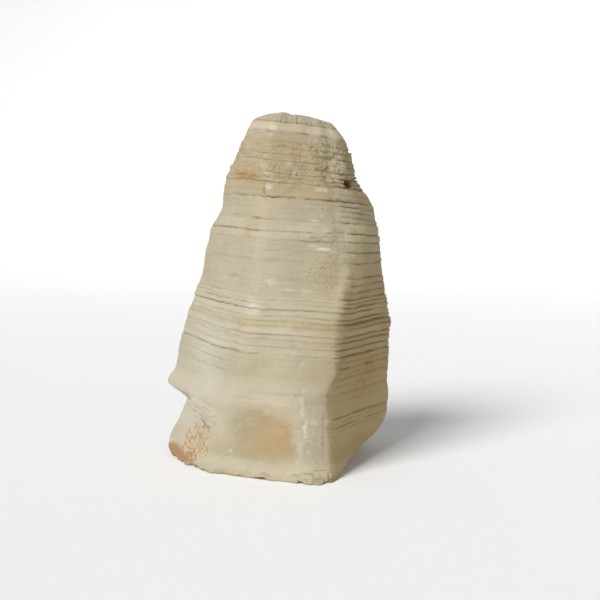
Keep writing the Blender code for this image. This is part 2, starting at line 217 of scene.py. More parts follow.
class StoneColours(bpy.types.PropertyGroup):
    cream: colour_prop("Cream", "Pale, fine-grained beds", (0.466, 0.417, 0.305))
    buff: colour_prop("Buff", "Most of the beds", (0.411, 0.358, 0.249))
    tan: colour_prop("Tan", "Crumbly beds near the top", (0.41, 0.33, 0.2))
    ivory: colour_prop("Ivory", "The palest bed, under the cap", (0.54, 0.475, 0.34))
    pale: colour_prop("Pale", "Bleached skin of the left flank", (0.515, 0.49, 0.405))
    worn: colour_prop("Worn", "Dull, chipped strip at the foot of the front", (0.385, 0.347, 0.258))
    grey: colour_prop("Grey", "Weathered skin and cap", (0.475, 0.435, 0.335))
    dirt: colour_prop("Dirt", "Bottoms of grooves and pits", (0.20, 0.145, 0.075))
    # Painted shade: this colour is multiplied over the right face and the front's right part, which face
    # away from the key light, to make them darker and warmer.
    sheltered: colour_prop(
        "Sheltered", "Brown tint of the face that was sheltered from weather", (0.80, 0.67, 0.39))
    chip: colour_prop("Chip", "Freshly chipped stone", (0.546, 0.507, 0.421))
    bright: colour_prop("Bright", "White chips", (0.64, 0.595, 0.50))
    scar: colour_prop("Scar", "Broken, lichened stone along the front right arris", (0.56, 0.51, 0.35))
    stain: colour_prop("Stain", "Warm stain low on the front and under the upper beds", (0.41, 0.275, 0.13))
    olive: colour_prop("Olive", "Duller part of the stain", (0.335, 0.285, 0.165))
    rust: colour_prop("Rust", "Iron stain at the foot and round the pit", (0.295, 0.16, 0.075))
    vein: colour_prop("Vein", "Brown veins in the stained corner and at the top left", (0.33, 0.175, 0.06))
    cavity: colour_prop("Cavity", "Dark inside of the pit", (0.07, 0.035, 0.012))
    ochre: colour_prop("Ochre", "Yellow specks and the yellow foot", (0.42, 0.31, 0.11))


class StudioSettings(bpy.types.PropertyGroup):
    floor: colour_prop("Floor", "Colour of the floor", (0.86, 0.86, 0.86))
    camera_distance: length_prop("Camera distance", "Along the ground, from the stone's middle", 0.8086)
    camera_height: length_prop("Camera height", "Above the surface that the stone stands on", 0.212)
    camera_side: length_prop("Camera side", "How far the camera stands to the right of the middle", 0.0203)
    camera_pitch: angle_prop("Camera pitch", "How far the camera looks down", 5.7106)
    lens: FloatProperty(
        name="Lens", description="Focal length in millimetres for a 36 mm wide picture", default=60.0)
    key_strength: FloatProperty(
        name="Key light", description="Strength of the broad light from the left", default=3.1)
    key_spread: angle_prop("Key spread", "How broad the key light is", 28)
    key_side: angle_prop("Key side", "How far to the left of the front the key light stands", 38)
    key_height: angle_prop("Key height", "How high above the ground the key light stands", 42)
    fill: FloatProperty(
        name="Fill", description="Brightness of the light from all round", default=0.3)


def smooth(x):
    """0 below 0, 1 above 1, and the cubic 3x^2 - 2x^3 between."""
    x = np.clip(x, 0.0, 1.0)
    return x * x * (3.0 - 2.0 * x)


def lattice(i, j, seed):
    """A value from -1 to 1 that is the same each time for one whole-number point and seed."""
    return 2.0 * np.mod(np.sin(i * 12.9898 + j * 78.233 + seed * 37.719) * 43758.5453, 1.0) - 1.0


def patches(u, v, cells, seed):
    """Smooth noise: the lattice values at the four corners round u, v, blended by smooth steps."""
    i, j = np.floor(u), np.floor(v)
    across, up = smooth(u - i), smooth(v - j)
    near, far = np.mod(i, cells), np.mod(i + 1, cells)
    low = lattice(near, j, seed) * (1 - across) + lattice(far, j, seed) * across
    high = lattice(near, j + 1, seed) * (1 - across) + lattice(far, j + 1, seed) * across
    return low * (1 - up) + high * up


def noise(turn, level, cells, rise, seed):
    """Noise over the flanks, with `cells` values round the stone and one each `rise` up it."""
    return patches(turn * cells, level / rise, cells, seed)


def along(outline, height):
    """The values of an outline at each height: its straight runs, averaged over a short height."""
    table = np.array(outline, dtype=float)
    columns = []
    for values in table.T[1:]:
        below, here, above = (np.interp(height + shift, table[:, 0], values)
                              for shift in (-EASE, 0.0, EASE))
        columns.append(0.25 * below + 0.5 * here + 0.25 * above)
    return columns


def axis(height):
    """Where the stone's axis is at a height: it leans evenly from foot to crest."""
    return LEAN[0] * height / CREST, LEAN[1] * height / CREST


def arris_turns(height):
    """Direction of each arris from the axis, and of the first again after a whole turn."""
    axis_x, axis_y = axis(height)
    turns = []
    for outline in ARRISES + ARRISES[:1]:
        x, y = along(outline, height)
        turns.append(np.arctan2(y - axis_y, x - axis_x))
    return np.unwrap(turns, axis=0)


def directions(turns, share):
    """Direction of each column: shares count arrises, and between two the angle runs evenly."""
    side = np.clip(np.floor(share).astype(int), 0, len(ARRISES) - 1)
    start = np.take_along_axis(turns, side[None], 0)[0]
    end = np.take_along_axis(turns, side[None] + 1, 0)[0]
    return start + (end - start) * (share - side)


def arris_sharpness(share, level):
    """The exponent of the soft minimum: eased from arris to arris, and from the foot's to the
    crest's as (level / crest) ^ 0.7."""
    foot, crest = np.array(SHARPNESS + SHARPNESS[:1]).T
    rise = np.clip(level / CREST, 0.0, 1.0) ** 0.7
    side = np.floor(share)
    eased = side + smooth(share - side)
    arrises = range(len(foot))
    return np.interp(eased, arrises, foot) * (1 - rise) + np.interp(eased, arrises, crest) * rise


def face_radius(direction, height, sharpness):
    """Distance from the axis to the faces: the soft minimum of the distances to all the planes
    that bound the section, as (sum of (1 / distance) ^ sharpness) ^ (-1 / sharpness)."""
    axis_x, axis_y = axis(height)
    cos, sin = np.cos(direction), np.sin(direction)
    corners = [along(outline, height) for outline in ARRISES]
    total = np.zeros_like(height)
    for (x0, y0), (x1, y1) in zip(corners, corners[1:] + corners[:1]):
        across_x, across_y = y1 - y0, x0 - x1
        distance = (x0 - axis_x) * across_x + (y0 - axis_y) * across_y
        total += (np.maximum(cos * across_x + sin * across_y, 0.0) / distance) ** sharpness
    out_x, out_y = math.cos(UNDERSIDE_TURN), math.sin(UNDERSIDE_TURN)
    distance = along(UNDERSIDE, height)[0] - axis_x * out_x - axis_y * out_y
    total += (np.maximum(cos * out_x + sin * out_y, 0.0) / distance) ** sharpness
    for (x, y, z), (out_x, out_y, out_z) in FACETS:
        distance = (x - axis_x) * out_x + (y - axis_y) * out_y + (z - height) * out_z
        distance = np.maximum(distance, 5.0)
        total += (np.maximum(cos * out_x + sin * out_y, 0.0) / distance) ** sharpness
    return total ** (-1.0 / sharpness)


def angle_away(turn, direction):
    """Degrees between each point's direction and one direction, going the short way round."""
    return np.abs(np.mod(turn * 360.0 - direction + 180.0, 360.0) - 180.0)


def window(turn, start, end):
    """1 between two directions and 0 outside, with a smooth step at each end."""
    return smooth(((end - start) / 2 - angle_away(turn, (start + end) / 2)) / WINDOW_FADE)


def blot(turn, level, radius, direction, centre, half_width, half_height):
    """1 at one place of the surface, falling to 0 over an ellipse round it."""
    across = np.radians(angle_away(turn, direction)) * radius / half_width
    return np.clip(1.0 - np.hypot(across, (level - centre) / half_height), 0.0, 1.0)


def zone_values(level):
    """Lamina thickness, ledge depth, crumble and stripes at each level, stepping from zone to
    zone."""
    table = np.array(ZONES)
    zone = np.clip(np.searchsorted(table[:, 0], level, side="right") - 1, 0, len(ZONES) - 1)
    return np.moveaxis(table[zone, 1:], -1, 0)


def lamina_edges():
    """Bed levels of the joints between laminae: every groove, and even steps between two of them."""
    marks = sorted({0.0, RIM_LEVEL, *(zone[0] for zone in ZONES), *(groove[0] for groove in GROOVES)})
    edges = [0.0]
    for low, high in zip(marks, marks[1:]):
        thickness = zone_values(np.array([low + 0.01]))[0][0]
        count = max(1, round((high - low) / thickness))
        steps = np.arange(1, count + 1) / count
        jitter = 0.2 * lattice(np.arange(count), low, 3) / count * (steps < 1)
        edges += list(low + (high - low) * (steps + jitter))
    return np.array(edges)


def rows():
    """Bed level and lamina number of each row: two rows at a joint that has a ledge and one at a
    joint without, and two more on the sides of each groove."""
    edges = lamina_edges()
    joint = 0.2
    levels, laminae = [0.0], [0]
    grooves = {groove[0]: groove[2] for groove in GROOVES}
    for number, edge in enumerate(edges[1:-1], start=1):
        reach = grooves.get(round(float(edge), 4))
        if reach:
            levels += [edge - reach, edge - joint, edge + joint, edge + reach]
            laminae += [number - 1, number - 1, number, number]
        elif zone_values(np.array([edge]))[1][0] > 0:
            levels += [edge - joint, edge + joint]
            laminae += [number - 1, number]
        else:
            levels.append(edge)
            laminae.append(number)
    levels += [RIM_LEVEL - grooves[RIM_LEVEL], RIM_LEVEL - joint, RIM_LEVEL]
    laminae += [len(edges) - 2] * 3
    order = np.argsort(levels, kind="stable")
    return np.array(levels)[order], np.array(laminae)[order]


def arris_nearness(direction, turns, level, radius, reach):
    """How close each point is to a worn arris: exp(-(distance / reach)^2) times the arris's wear,
    which goes from its lower to its upper value by a smooth step."""
    near = np.zeros_like(level)
    upper = smooth((level - UPPER_LEVEL) / UPPER_FADE)
    for turn, (low, high) in zip(turns, ARRIS_WEAR + ARRIS_WEAR[:1]):
        wear = low * (1 - upper) + high * upper
        near = np.maximum(near, wear * np.exp(-((direction - turn) * radius / reach) ** 2))
    return near


def groove_field(share, turn, level):
    """Depth of the grooves, and how dark they are: a smooth valley round each groove's level,
    times its strength on that side, times a noise that makes it come and go."""
    depth = np.zeros_like(level)
    dark = np.zeros_like(level)
    places, sides = np.array(SIDES).T
    for seed, (centre, deep, half_width, *strengths) in enumerate(GROOVES):
        values = np.array(strengths)[sides.astype(int)]
        strength = np.interp(share, places, values)
        strength *= 1.0 + 0.35 * (strength > 0.8)
        broken = 0.6 * noise(turn, level, 26, 40.0, seed + 50)
        broken += 0.55 * noise(turn, level, 74, 40.0, seed + 99)
        broken += 0.4 * noise(turn, level, 150, 40.0, seed + 150)
        strength = strength * np.clip(0.72 + 0.7 * broken, 0.0, 1.15)
        away = np.abs(level - centre) / half_width
        depth += deep * strength * smooth(1.0 - away)
        dark += min(deep, 1.2) * strength * smooth(1.2 - 0.9 * away)
    return depth, np.clip(dark, 0.0, 1.0)


def relief_field(share, direction, turns, turn, level, lamina, radius, sizes):
    """How far the surface stands out from the faces, and the marks that the finish reads.

    It is the sum of the beds' own steps, each lamina's offset, broad and fine swells, crumbs,
    chipped arrises, scoops, the pit, grooves, the worn and lumpy foot and the fill under the lip."""
    _, ledge, crumble, striped = zone_values(level)
    relief = np.full_like(level, BEDS[0][1])
    for (edge, proud, step), (_, before, _) in zip(BEDS[1:], BEDS):
        relief += (proud - before) * smooth((level - edge) / step + 0.5)
    for seed, (depth, cells, rise) in enumerate(SWELLS):
        relief += depth * noise(turn, level, cells, rise, seed)

    near = arris_nearness(direction, turns, level, radius, ROUGH_REACH)
    close = arris_nearness(direction, turns, level, radius, CHIP_REACH)
    offset = 0.6 * patches(turn * 17, lamina, 17, 20) + 0.4 * patches(turn * 61, lamina, 61, 21)
    offset += 0.5 * patches(turn * 150, lamina, 150, 22) * crumble
    relief += ledge * offset * (1.0 + 1.5 * near)

    rough = crumble * (0.4 + 0.6 * smooth(0.5 + noise(turn, level, 12, 16.0, 30))) * (0.6 + 0.8 * near)
    for place in CRUMBLY:
        rough = np.maximum(rough, place[4] * smooth(1.5 * blot(turn, level, radius, *place[:4])))
    crumbs = noise(turn, level, 190, 2.0, 31) + 0.8 * noise(turn, level, 320, 1.3, 32)
    crumbs += 0.7 * noise(turn, level, 90, 3.4, 38)
    top, top_level, top_fade = TOP_CRUMBS
    foot, foot_level, foot_fade = FOOT_CRUMBS
    crumb_depth = CRUMB_DEPTH + top * smooth((level - top_level) / top_fade)
    crumb_depth += foot * smooth((foot_level - level) / foot_fade)
    relief += crumb_depth * rough * crumbs

    chips = 0.55 * noise(turn, level, 70, 5.0, 33) + 0.7 * noise(turn, level, 150, 2.0, 34)
    chips += 0.35 * patches(turn * 110, lamina, 110, 39)
    chips = smooth(np.clip(chips + 0.25, 0, 1) / 1.1)
    relief -= sizes.arris_chips / MM * close * chips
    fresh = close * smooth((chips - 0.4) / 0.5)

    for place in SCOOPS:
        scoop = smooth(1.6 * blot(turn, level, radius, *place[:4]))
        scoop *= np.clip(0.75 + 0.5 * noise(turn, level, 130, 2.0, 35), 0, 1)
        relief -= place[4] * scoop
        fresh = np.maximum(fresh, scoop)
    hollow = smooth(1.7 * blot(turn, level, radius, *CAVITY[:4]))
    relief -= CAVITY[4] * hollow

    grooves, dark = groove_field(share, turn, level)
    relief -= grooves
    relief = relief * sizes.relief - FOOT_INSET * np.exp(-level / FOOT_WEAR)
    lumps = noise(turn, level, 60, 4.5, 36) + 0.6 * noise(turn, level, 150, 2.5, 37)
    relief += FOOT_LUMP * lumps * np.exp(-(level / FOOT_LUMP_HEIGHT) ** 2)
    for place in FOOT_LUMPS:
        relief += place[4] * smooth(1.4 * blot(turn, level, radius, *place[:4]))
    start, end, low, high, depth = LIP_FILL
    fill = smooth((level - low) / LIP_FADES[0]) * smooth((high - level) / LIP_FADES[1])
    relief += depth * window(turn, start, end) * fill
    marks = {"seam": dark, "fresh": fresh, "crumble": rough, "striped": striped, "hollow": hollow}
    return relief, marks


def sway(turn, level):
    """How far a bed wanders up or down from its even dip, in millimetres. At the foot it only
    rises, in scallops, so that the stone stands on what is left between them."""
    wander = 0.8 * noise(turn, level, 9, 30.0, 60) + 0.3 * noise(turn, level, 31, 12.0, 61)
    wander += 0.22 * noise(turn, level, 84, 15.0, 62)
    ragged = sum(strength * smooth((level - low) / fade) * smooth((high - level) / fade)
                 for low, high, fade, strength in RAGGED)
    wander += 0.4 * noise(turn, level, 128, 15.0, 63) * (0.25 + ragged)
    scallops = noise(turn, level, 44, 900.0, 64) + 0.7 * noise(turn, level, 118, 900.0, 65)
    lift = FOOT_LIFT * np.clip(scallops, 0, 1) * np.exp(-level / FOOT_RIM)
    return wander * smooth(level / 12.0) + lift


def flank(share, level, lamina, sizes):
    """Points of the flanks: columns by arris share, rows by bed level. A point's height is its
    level, less the dip times its x, plus the sway; the radius is the faces' plus the relief.
    Height and radius hang on each other, so both are worked out in rounds, and the relief, which
    changes little, only in the last of them."""
    dip = np.interp(level, *np.array(DIP).T)
    sharpness = arris_sharpness(share, level)
    height = level.copy()
    relief, marks = 0.0, {}
    for count in range(ROUNDS):
        turns = arris_turns(height)
        direction = directions(turns, share)
        turn = np.mod(direction / (2 * math.pi), 1.0)
        radius = face_radius(direction, height, sharpness)
        if count >= PLAIN_ROUNDS:
            relief, marks = relief_field(share, direction, turns, turn, level, lamina, radius, sizes)
        radius = radius + relief
        axis_x, axis_y = axis(height)
        x, y = axis_x + radius * np.cos(direction), axis_y + radius * np.sin(direction)
        height = np.maximum(level - dip * x + sway(turn, level), 0.0)
    marks["turn"] = turn
    return np.stack([x - MIDDLE[0], y - MIDDLE[1], height], -1), marks


def cap(rim):
    """Rings from the rim to the crest: each is the rim shrunk to its middle, raised towards the
    crest's sloping, lumpy plane by 1 - size ^ bend. The first stands proud of the rim's groove."""
    sizes = 1.0 - (np.arange(1, CAP_RINGS + 1) / (CAP_RINGS + 1)) ** CAP_CROWDING
    sizes = sizes[:, None, None]
    middle = rim.mean(axis=0)
    rings = middle + (rim - middle) * (sizes + CAP_LIP * smooth((1.0 - sizes) / 0.02))
    x, y = rings[..., 0], rings[..., 1]
    crest = CREST - CREST_SLOPE * np.maximum(x - CREST_EDGE, 0.0)
    for height, width, cells, seed in CAP_LUMPS:
        crest += height * patches(x / width, y / width, cells, seed)
    shrink = sizes[..., 0]
    rings[..., 2] = rim[:, 2] + (crest - rim[:, 2]) * (1.0 - shrink ** CAP_BEND)
    return rings


def grid_quads(rows_of_points, around):
    """Quads between rings of points, which lie row after row: each joins two neighbours of one
    ring to the two above them, and the last column joins the first."""
    row, column = np.meshgrid(np.arange(rows_of_points - 1), np.arange(around), indexing="ij")
    a, b = row * around + column, row * around + (column + 1) % around
    return np.stack([a, b, b + around, a + around], -1).reshape(-1, 4)


def closed_grid(name, points, marks):
    """A mesh of rings of points joined by quads, with a fan of triangles over each end."""
    count, around, _ = points.shape
    low, high = points[0].mean(axis=0), points[-1].mean(axis=0)
    verts = np.vstack([points.reshape(-1, 3), low, high]) * MM
    quads = grid_quads(count, around)
    ring, after = np.arange(around), (np.arange(around) + 1) % around
    foot, top, last = count * around, count * around + 1, (count - 1) * around
    fans = np.vstack([np.stack([after, ring, np.full(around, foot)], -1),
                      np.stack([last + ring, last + after, np.full(around, top)], -1)])
    mesh = bpy.data.meshes.new(name)
    mesh.vertices.add(len(verts))
    mesh.vertices.foreach_set("co", verts.astype(np.float32).ravel())
    corners = np.concatenate([quads.ravel(), fans.ravel()]).astype(np.int32)
    totals = np.concatenate([np.full(len(quads), 4), np.full(len(fans), 3)])
    mesh.loops.add(len(corners))
    mesh.loops.foreach_set("vertex_index", corners)
    mesh.polygons.add(len(totals))
    mesh.polygons.foreach_set("loop_start", (np.cumsum(totals) - totals).astype(np.int32))
    mesh.update(calc_edges=True)
    for mark, values in marks.items():
        layer = mesh.attributes.new(mark, "FLOAT", "POINT")
        ends = [values[0].mean(), values[-1].mean()]
        layer.data.foreach_set("value", np.append(values.ravel(), ends).astype(np.float32))
    mesh.shade_smooth()
    return mesh


class Value:
    """A socket of a node, on which arithmetic adds Math nodes."""

    def __init__(self, paint, socket):
        self.paint = paint
        self.socket = socket

    def math(self, operation, first, second):
        return self.paint.node("ShaderNodeMath", {"operation": operation}, {0: first, 1: second})

    def __add__(self, other):
        return self.math("ADD", self, other)

    def __radd__(self, other):
        return self.math("ADD", other, self)

    def __sub__(self, other):
        return self.math("SUBTRACT", self, other)

    def __rsub__(self, other):
        return self.math("SUBTRACT", other, self)

    def __mul__(self, other):
        return self.math("MULTIPLY", self, other)

    def __rmul__(self, other):
        return self.math("MULTIPLY", other, self)

    def __truediv__(self, other):
        return self.math("DIVIDE", self, other)

    def __abs__(self):
        return self.math("ABSOLUTE", self, 0.0)


class Paint:
    """The nodes of one material."""

    def __init__(self, name):
        self.material = bpy.data.materials.new(name)
        self.material.use_nodes = True
        self.tree = self.material.node_tree
        self.tree.nodes.clear()

    def node(self, kind, settings=None, values=None, output=0):
        """Adds a node, makes its settings, fills its sockets, and returns one of its outputs."""
        made = self.tree.nodes.new(kind)
        for name, setting in (settings or {}).items():
            if name == "stops":
                self.set_stops(made.color_ramp, setting)
            else:
                setattr(made, name, setting)
        for key, value in (values or {}).items():
            if isinstance(value, Value):
                self.tree.links.new(value.socket, made.inputs[key])
            else:
                made.inputs[key].default_value = value
        return Value(self, made.outputs[output]) if made.outputs else None

    def set_stops(self, ramp, stops):
        while len(ramp.elements) < len(stops):
            ramp.elements.new(1.0)
        for element, (position, colour) in zip(ramp.elements, stops):
            element.position = position
            element.color = (*colour, 1.0)

    def attribute(self, name):
        return self.node("ShaderNodeAttribute", {"attribute_name": name}, output=2)

    def step(self, value, low, high):
        """0 below low, 1 above high, smooth between."""
        return self.node("ShaderNodeMapRange", {"interpolation_type": "SMOOTHSTEP"},
                         {0: value, 1: low, 2: high})

    def mix(self, factor, first, second, blend="MIX"):
        first, second = (colour if isinstance(colour, Value) else (*colour, 1.0)
                         for colour in (first, second))
        return self.node("ShaderNodeMix", {"data_type": "RGBA", "blend_type": blend},
                         {0: factor, 6: first, 7: second}, output=2)

    def scaled(self, vector, factors):
        return self.node("ShaderNodeVectorMath", {"operation": "MULTIPLY"}, {0: vector, 1: factors})

    def mark(self, vector, x, level, half_width, half_height, strength):
        """The strength inside an ellipse on the front, seen along y, and 0 outside."""
        away = self.node("ShaderNodeVectorMath", {"operation": "SUBTRACT"},
                         {0: vector, 1: (x, 0.0, level)})
        away = self.scaled(away, (1 / half_width, 0.0, 1 / half_height))
        away = self.node("ShaderNodeVectorMath", {"operation": "LENGTH"}, {0: away}, output=1)
        return self.step(away, 1.2, 0.3) * strength

    def largest(self, values):
        largest = values[0]
        for value in values[1:]:
            largest = largest.math("MAXIMUM", largest, value)
        return largest

    def noise(self, vector, scale, detail=3.0, roughness=0.55):
        return self.node("ShaderNodeTexNoise", {}, {"Vector": vector, "Scale": scale, "Detail": detail,
                                                    "Roughness": roughness})


# The beds' colours over the stone's height: a bed level and the colour there, up to 32 of them.
BED_COLOURS = [
    (0, "buff"), (7, "cream"), (11, "cream"), (15, "buff"), (21, "buff"), (28, "cream"), (71, "cream"),
    (78, "buff"), (94, "buff"), (97, "cream"), (106, "buff"), (110, "cream"), (114, "cream"),
    (116, "tan"), (120, "tan"), (122, "cream"), (139, "cream"), (142, "buff"), (178, "buff"),
    (184, "cream"), (195, "cream"), (198, "buff"), (213, "buff"), (215, "tan"), (257, "tan"),
    (264, "buff"), (266, "ivory"), (272, "ivory"), (274, "buff"), (276, "grey"), (279, "pale")]

FRONT = (40.0, 20.0)                  # the front's marks fade in from the first y to the second
WANDER = (7.0, 0.0, 3.0)              # the span over which noise shifts the marks, in x, y and level
LIT_MIDDLE_X, LIT_MIDDLE_LEVELS = -4.0, (20.0, 225.0)   # the middle of the front painted paler: painted light where the key light falls fullest


def bed_colour(paint, colours, place, bedded, level, striped):
    """The beds: colours by level, broken by mottling and by stripes that run along the beds. The
    mottling and the fine stripes are returned too, because other parts of the finish share them."""
    broad = paint.noise(place, 0.045, 3.0)
    mottle = paint.noise(place, 0.11, 4.0, 0.6)
    laminae = paint.noise(paint.scaled(bedded, (0.010, 0.010, 0.42)), 1.0, 4.0, 0.6)
    lines = paint.noise(paint.scaled(bedded, (0.035, 0.035, 1.5)), 1.0, 2.0, 0.5)
    stops = [(height / CREST, tuple(getattr(colours, name))) for height, name in BED_COLOURS]
    colour = paint.node("ShaderNodeValToRGB", {"stops": stops},
                        {0: (level + (broad - 0.5) * 4.0) / CREST})
    colour = paint.mix(paint.step(broad, 0.45, 0.70) * 0.25, colour, colours.tan)
    colour = paint.mix(paint.step(mottle, 0.50, 0.72) * 0.35, colour, colours.grey)
    colour = paint.mix(paint.attribute("weather"), colour, colours.pale)
    colour = paint.mix(paint.attribute("worn"), colour, colours.worn)
    colour = paint.mix(paint.step(laminae, 0.52, 0.72) * (0.1 + striped * 0.4), colour, colours.cream)
    colour = paint.mix(paint.step(laminae, 0.48, 0.30) * (0.1 + striped * 0.35), colour, colours.tan)
    colour = paint.mix(paint.step(lines, 0.42, 0.26) * (striped * 0.4), colour, colours.dirt)
    colour = paint.mix(paint.step(lines, 0.58, 0.74) * (striped * 0.35), colour, colours.chip)
    return colour, mottle, lines


def crumbly_colour(paint, colours, colour, level, crumble, grit, flecks, grains):
    """Grit everywhere, and crumbs, a warmer top, scars and fresh chips where the stone is broken."""
    gritty = 0.12 + crumble * 0.30
    colour = paint.mix(paint.step(grit, 0.48, 0.28) * gritty, colour, colours.dirt)
    colour = paint.mix(paint.step(grit, 0.54, 0.74) * gritty, colour, colours.ivory)
    colour = paint.mix(crumble * paint.step(level, 150.0, 200.0) * 0.35, colour, colours.tan)
    colour = paint.mix(paint.step(level, 266.0, 271.0) * 0.15, colour, colours.tan)
    for spots, share in ((flecks, 0.45), (grains, 0.55)):
        colour = paint.mix(paint.step(spots, 0.59, 0.67) * (crumble * share), colour, colours.dirt)
        colour = paint.mix(paint.step(spots, 0.40, 0.32) * (crumble * share), colour, colours.ivory)
    scarred = paint.attribute("scarred")
    colour = paint.mix(scarred * (0.4 + paint.step(grains, 0.35, 0.6) * 0.5), colour, colours.scar)
    return paint.mix(paint.attribute("fresh") * 0.6, colour, colours.chip)


def stained_colour(paint, colours, colour, place, x, level, mottle, grains, ragged):
    """Iron stains with uneven edges, duller on the left, and the veined corner: thin lines where
    a noise is near its middle value."""
    orange = paint.step(x + (mottle - 0.5) * 90.0 + paint.step(level, 100.0, 150.0) * 50.0, -36.0, 12.0)
    warm = paint.mix(orange, colours.olive, colours.stain)
    stains = (("stain", 0.8, warm), ("rust", 0.85, colours.rust), ("ochre", 0.7, colours.ochre))
    for stain, strength, tint in stains:
        uneven = (ragged - 0.5) * 0.8 + (mottle - 0.5) * 1.4
        spread = paint.step(paint.attribute(stain) * (1.0 + uneven * 1.4), 0.05, 0.95)
        colour = paint.mix(spread * strength, colour, tint)
    veined = paint.attribute("veined")
    patch = paint.step(veined * (1.0 + (ragged - 0.5) * 2.4), 0.15, 0.6)
    colour = paint.mix(patch * 0.32, colour, colours.stain)
    colour = paint.mix(patch * paint.step(grains, 0.48, 0.62) * 0.8, colour, colours.ivory)
    squiggles = paint.noise(place, 0.15, 2.5, 0.55)
    veins = paint.step(abs(squiggles - 0.5), 0.045, 0.015)
    veins = veins * patch * paint.step(ragged, 0.36, 0.52)
    return paint.mix(veins * 0.85, colour, colours.vein)


def marked_colour(paint, colours, colour, place, bedded, front, grit):
    """The small marks on the front: ellipses whose outlines a noise shifts about."""
    wobble = paint.node("ShaderNodeTexNoise", {}, {
        "Vector": place, "Scale": 0.5, "Detail": 4.0, "Roughness": 0.7}, output=1)
    wobble = paint.node("ShaderNodeVectorMath", {"operation": "MULTIPLY_ADD"},
                        {0: wobble, 1: WANDER, 2: bedded})
    wobble = paint.node("ShaderNodeVectorMath", {"operation": "SUBTRACT"},
                        {0: wobble, 1: tuple(reach / 2 for reach in WANDER)})
    patchy = (0.35 + paint.step(grit, 0.40, 0.58) * 0.65) * front
    for name, places in MARKS.items():
        marks = [paint.mark(wobble, *mark) for mark in places]
        colour = paint.mix(paint.largest(marks) * patchy, colour, getattr(colours, name))
    return colour


def stone_finish(colours, sizes):
    """The bedded stone: the beds' colours, then grit, crumbs, stains and small marks, and last
    the painted shade of the side away from the light, the dirt in the grooves and the dark inside of the
    pit."""
    paint = Paint("bedded stone")
    place = paint.node("ShaderNodeTexCoord", output=3)
    place = paint.scaled(place, (1 / MM, 1 / MM, 1 / MM))
    level, striped, crumble = (paint.attribute(name) for name in ("level", "striped", "crumble"))
    x, y = (paint.node("ShaderNodeSeparateXYZ", {}, {0: place}, output=index) for index in (0, 1))
    bedded = paint.node("ShaderNodeCombineXYZ", {}, {0: x, 1: y, 2: level})
    flecks = paint.noise(paint.scaled(bedded, (0.30, 0.30, 0.85)), 1.0, 2.0, 0.5)
    grit = paint.noise(place, 0.75, 3.0, 0.65)
    grains = paint.noise(place, 0.42, 2.0, 0.55)
    ragged = paint.noise(place, 0.30, 5.0, 0.7)

    colour, mottle, lines = bed_colour(paint, colours, place, bedded, level, striped)
    colour = crumbly_colour(paint, colours, colour, level, crumble, grit, flecks, grains)
    front = paint.step(y, *FRONT)
    # Painted light: the middle of the front, where the key light falls fullest, is mixed paler with ivory.
    bottom, top = LIT_MIDDLE_LEVELS
    painted_light_middle = paint.step(abs(x - LIT_MIDDLE_X), 26.0, 6.0) * paint.step(level, bottom, bottom + 25.0)
    painted_light_middle = painted_light_middle * paint.step(level, top, top - 20.0)
    colour = paint.mix(painted_light_middle * front * 0.28, colour, colours.ivory)
    colour = stained_colour(paint, colours, colour, place, x, level, mottle, grains, ragged)
    colour = marked_colour(paint, colours, colour, place, bedded, front, grit)

    # Painted shade: the right face and the right part of the front, which face away from the key light, are
    # multiplied darker and warmer.
    sheltered = paint.attribute("sheltered")
    colour = paint.mix(sheltered * 0.8, colour, colours.sheltered, "MULTIPLY")
    # Dirt in the grooves. It is darker where the painted shade lies, and that extra darkening is painted
    # shade too.
    colour = paint.mix(paint.attribute("seam") * (0.5 + sheltered * 0.2), colour, colours.dirt)
    colour = paint.mix(paint.attribute("hollow") * 0.85, colour, colours.cavity)

    grain = grit * (0.7 + crumble) + lines * striped * 0.8 + (flecks + grains) * (0.15 + crumble * 0.9)
    bump = paint.node("ShaderNodeBump", {}, {"Strength": 0.7, "Distance": sizes.grain, "Height": grain})
    shader = paint.node("ShaderNodeBsdfPrincipled", {}, {
        "Base Color": colour, "Roughness": 0.82 + mottle * 0.15, "Specular IOR Level": 0.3,
        "Normal": bump})
    paint.node("ShaderNodeOutputMaterial", {}, {0: shader})
    return paint.material


